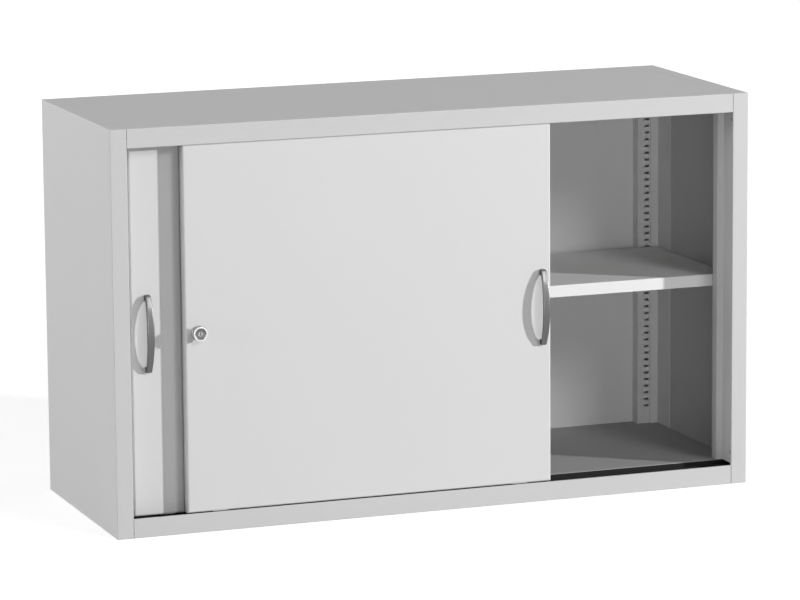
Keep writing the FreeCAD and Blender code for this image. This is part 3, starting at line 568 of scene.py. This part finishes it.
# Lock rosette and housing: a turned ring of plated metal on the front door's face, painted darker as painted
# shade at the lock's side.
# It sits on a threaded sleeve of plated steel, which a nut holds from inside the door.
ROSETTE_BORE_R = 0.01005
ROSETTE_SLOPE = 0.0022
ROSETTE_ROUND = 0.0006
RING_SHADE_GREY = (0.32, 0.32, 0.325, 1)
CHROME_GREY = (0.78, 0.78, 0.79, 1)
LOCK_GRAIN = (300, 300, 300)
chrome = metal("lock_chrome", CHROME_GREY, rough=0.12, uneven=0.08, grain=LOCK_GRAIN, depth=0.00001)
ring_metal = metal("lock_ring_metal", RING_SHADE_GREY, rough=0.24, uneven=0.08, grain=LOCK_GRAIN, depth=0.000004)
dress(["lock_housing", "lock_nut"], zinc)
lowest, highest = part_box("lock_rosette")
radius = (highest.x - lowest.x) / 2
thick = highest.y - lowest.y
ring = turned([(ROSETTE_BORE_R, 0), (radius, 0), (radius, thick / 2), (radius - ROSETTE_SLOPE, thick),
               (ROSETTE_BORE_R, thick)], ring=True)
lock_middle = (lowest + highest) / 2
lock_middle.y = highest.y
ring = stand(round_edges(ring, ROSETTE_ROUND, parts=3), lock_middle, (0, -1, 0))
make_piece("lock_ring", [ring], ring_metal, "front_door", "lock_chrome", "lock_rosette")

# Lock barrel: a turned and chromed push button with a hollow head, its inside painted darker as painted
# shade.
# It slides in the housing and carries the bolt at its rear end.
HEAD = 0.004
HEAD_ROUND = 0.0005
BARREL_R = 0.008
HOLLOW_R = 0.0117
HOLLOW_FLOOR_R = 0.0106
HOLLOW = 0.002
HOLLOW_SHADE_GREY = (0.16, 0.16, 0.165, 1)
PLUG_BORE_R = 0.00505
PLUG_BORE_DEEP = 0.015
hollow_shade_metal = metal("lock_hollow_shade", HOLLOW_SHADE_GREY, rough=0.30, uneven=0.15, grain=(500, 500, 500),
                     depth=0.00001)
lowest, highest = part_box("lock_cylinder")
head_r = (highest.x - lowest.x) / 2
long = highest.y - lowest.y
button = turned([(0, -PLUG_BORE_DEEP), (PLUG_BORE_R, -PLUG_BORE_DEEP), (PLUG_BORE_R, -HOLLOW),
                 (HOLLOW_FLOOR_R, -HOLLOW), (HOLLOW_R, 0), (head_r, 0), (head_r, -HEAD), (BARREL_R, -HEAD),
                 (BARREL_R, -long), (0, -long)])
face = Vector((lock_middle.x, lowest.y, lock_middle.z))
round_edges(button, HEAD_ROUND, parts=3)
# Faces inside the hollow take the painted shade.
for side in button.faces:
    middle = side.calc_center_median()
    side.material_index = int(middle.xy.length < HOLLOW_R and middle.z < 0)
button = make_piece("lock_button", [stand(button, face, (0, -1, 0))], chrome, "lock_barrel", "lock_chrome",
                    "lock_cylinder")
button.data.materials.append(hollow_shade_metal)
dress(["lock_bolt"], zinc)

# Key plug: the nickel plated cylinder that the key turns, with a narrow keyway.
# It sits in a bore of the lock barrel, flush with the floor of the hollow head.
KEYWAY_HALF_WIDE = 0.0008
KEYWAY_HALF_LONG = 0.0035
KEYWAY_DEEP = 0.010
PLUG_GREY = (0.42, 0.42, 0.42, 1)
lowest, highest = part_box("key_plug")
plug = bmesh.new()
bmesh.ops.create_circle(plug, cap_ends=False, segments=RIM_PARTS, radius=(highest.x - lowest.x) / 2)
rim = plug.edges[:]
mouth = bmesh.ops.create_grid(plug, x_segments=1, y_segments=1, size=1.0)["verts"]
bmesh.ops.delete(plug, geom=plug.faces[:], context="FACES_ONLY")
bmesh.ops.scale(plug, vec=(KEYWAY_HALF_WIDE, KEYWAY_HALF_LONG, 1), verts=mouth)
slot_edges = [edge for edge in plug.edges if edge.verts[0] in mouth]
bmesh.ops.subdivide_edges(plug, edges=slot_edges, cuts=RIM_PARTS // 4 - 1)
slot_edges = [edge for edge in plug.edges if edge not in rim]
bmesh.ops.bridge_loops(plug, edges=rim + slot_edges)
sunk = grow(plug, slot_edges, raise_by(-KEYWAY_DEEP))
bmesh.ops.holes_fill(plug, edges=sunk)
rim = grow(plug, rim, raise_by(lowest.y - highest.y))
bmesh.ops.holes_fill(plug, edges=rim)
bmesh.ops.recalc_face_normals(plug, faces=plug.faces)
face = Vector((lock_middle.x, lowest.y, lock_middle.z))
plug_metal = metal("plug_nickel", PLUG_GREY, rough=0.28, uneven=0.1, grain=(400, 400, 400),
                   depth=0.00001)
make_piece("slotted_plug", [stand(plug, face, (0, -1, 0))], plug_metal, "key_plug", "lock_chrome",
           "key_plug")

# Lock keeper: a bridge of zinc plated sheet on the rear door, held by two round head rivets.
# It has the hole that the bolt enters when both doors are shut.
KEEPER_RIVET_R = 0.0016
KEEPER_RIVET_HEAD = 0.0012
KEEPER_RIVET_SLOPE = 0.0013
dress(["lock_keeper"], zinc)
rivets = []
for lowest, highest in solid_boxes("keeper_rivets"):
    middle = (lowest + highest) / 2
    head_r = (highest.x - lowest.x) / 2
    long = highest.y - lowest.y
    crown = head_r - KEEPER_RIVET_SLOPE
    head = [(0, 0), (crown, 0), (head_r, KEEPER_RIVET_HEAD / 2), (head_r, KEEPER_RIVET_HEAD),
            (KEEPER_RIVET_R, KEEPER_RIVET_HEAD)]
    rivet = turned(head + [(distance, long - along) for distance, along in reversed(head)])
    rivets.append(stand(rivet, (middle.x, highest.y, middle.z), (0, -1, 0)))
make_piece("keeper_rivet_heads", rivets, aluminium, "rear_door", "zinc_steel", "keeper_rivets")

# Stage: a plain pale floor of matt paint, much wider than the cabinet.
# The camera sees it as white, and the cabinet's shadow stays on it. The white grows towards the far
# floor, where the lamps' light runs out.
FLOOR_SIZE = 60.0
FLOOR_GREY = (0.48, 0.48, 0.48, 1)
FLOOR_ROUGHNESS = 0.9
WHITE = (1, 1, 1, 1)
FLOOR_GLOW = 0.71
NEAR_FLOOR = 2.0
FAR_FLOOR = 8.0


def seen_directly(tree):
    """1 for rays that show the background: from the camera, off metal or through glass."""
    path = tree.nodes.new("ShaderNodeLightPath").outputs
    inputs = {0: path["Is Camera Ray"], 1: path["Is Glossy Ray"]}
    both = add(tree, "ShaderNodeMath", inputs, operation="MAXIMUM")
    inputs = {0: both.outputs[0], 1: path["Is Transmission Ray"]}
    return add(tree, "ShaderNodeMath", inputs, operation="MAXIMUM").outputs[0]


floor_paint, tree, shader = new_material("floor_paint")
shader.inputs["Base Color"].default_value = FLOOR_GREY
shader.inputs["Roughness"].default_value = FLOOR_ROUGHNESS
shader.inputs["Specular IOR Level"].default_value = 0.0
shader.inputs["Emission Color"].default_value = WHITE
away = add(tree, "ShaderNodeVectorMath", {0: object_places(tree)}, operation="LENGTH").outputs["Value"]
inputs = {"Value": away, "From Min": NEAR_FLOOR, "From Max": FAR_FLOOR, "To Min": FLOOR_GLOW, "To Max": 1.0}
white = add(tree, "ShaderNodeMapRange", inputs).outputs["Result"]
glow = add(tree, "ShaderNodeMath", {0: seen_directly(tree), 1: white}, operation="MULTIPLY")
tree.links.new(glow.outputs[0], shader.inputs["Emission Strength"])
bm = bmesh.new()
bmesh.ops.create_grid(bm, x_segments=1, y_segments=1, size=FLOOR_SIZE / 2)
mesh = bpy.data.meshes.new("floor")
bm.to_mesh(mesh)
bm.free()
mesh.materials.append(floor_paint)
floor = bpy.data.objects.new("floor", mesh)
bpy.context.scene.collection.objects.link(floor)

# Light: one lamp from the right in front draws the shadows, and a soft one fills in from near the camera.
# Broad lamps light the left side, the back and the top, and one high in front gleams on the metal.
# The world adds a little light from all round.
LAMPS = [
    dict(name="key_lamp", direction=(0.74, -0.548, 0.20), distance=12.0, size=0.4, power=1190.0),
    dict(name="fill_lamp", direction=(-0.16, -0.98, 0.08), distance=10.0, size=2.5, power=145.0),
    dict(name="side_lamp", direction=(-0.95, -0.08, 0.16), distance=10.0, size=3.0, power=410.0),
    dict(name="back_lamp", direction=(-0.45, 0.84, 0.30), distance=10.0, size=2.5, power=440.0),
    dict(name="spark_lamp", direction=(0.31, -0.81, 0.49), distance=10.0, size=2.3, power=225.0),
    dict(name="top_lamp", direction=(0.10, 0.05, 0.99), distance=9.0, size=4.0, power=95.0),
]
LAMP_AIM = Vector((0, 0, 0.42))
AMBIENT = 0.06


def add_lamp(name, direction, distance, size, power):
    lamp = bpy.data.lights.new(name, "AREA")
    lamp.size = size
    lamp.energy = power
    holder = bpy.data.objects.new(name, lamp)
    away = Vector(direction).normalized()
    holder.location = LAMP_AIM + away * distance
    holder.rotation_euler = away.to_track_quat("Z", "Y").to_euler()
    bpy.context.scene.collection.objects.link(holder)


for lamp in LAMPS:
    add_lamp(**lamp)
world = bpy.data.worlds.new("room")
world.use_nodes = True
tree = world.node_tree
backdrop = add(tree, "ShaderNodeBackground", {"Color": WHITE, "Strength": 1.0})
ambient = tree.nodes["Background"]
ambient.inputs["Color"].default_value = WHITE
ambient.inputs["Strength"].default_value = AMBIENT
inputs = {0: seen_directly(tree), 1: ambient.outputs[0], 2: backdrop.outputs[0]}
mixed = add(tree, "ShaderNodeMixShader", inputs)
tree.links.new(mixed.outputs[0], tree.nodes["World Output"].inputs["Surface"])
bpy.context.scene.world = world

# Camera: a long lens from the left and a little above, as in the photograph.
# Its place, turns and focal length put the cabinet's outline within about 10 pixels of the photograph's.
PICTURE_WIDTH = 800
FOCAL_PIXELS = 4353.9
CAMERA_PLACE = (-3.1394, -8.5102, 2.0623)
CAMERA_YAW = 0.35374
CAMERA_PITCH = 0.18066
CAMERA_ROLL = -0.00791
FAR_CLIP = 200.0
lens = bpy.data.cameras.new("camera")
lens.lens = FOCAL_PIXELS / PICTURE_WIDTH * lens.sensor_width
lens.clip_end = FAR_CLIP
camera = bpy.data.objects.new("camera", lens)
turn = Matrix.Rotation(-CAMERA_YAW, 3, "Z") @ Matrix.Rotation(math.pi / 2 - CAMERA_PITCH, 3, "X")
camera.rotation_euler = (turn @ Matrix.Rotation(CAMERA_ROLL, 3, "Z")).to_euler()
camera.location = CAMERA_PLACE
bpy.context.scene.collection.objects.link(camera)
bpy.context.scene.camera = camera
bpy.context.scene.view_settings.view_transform = "Standard"
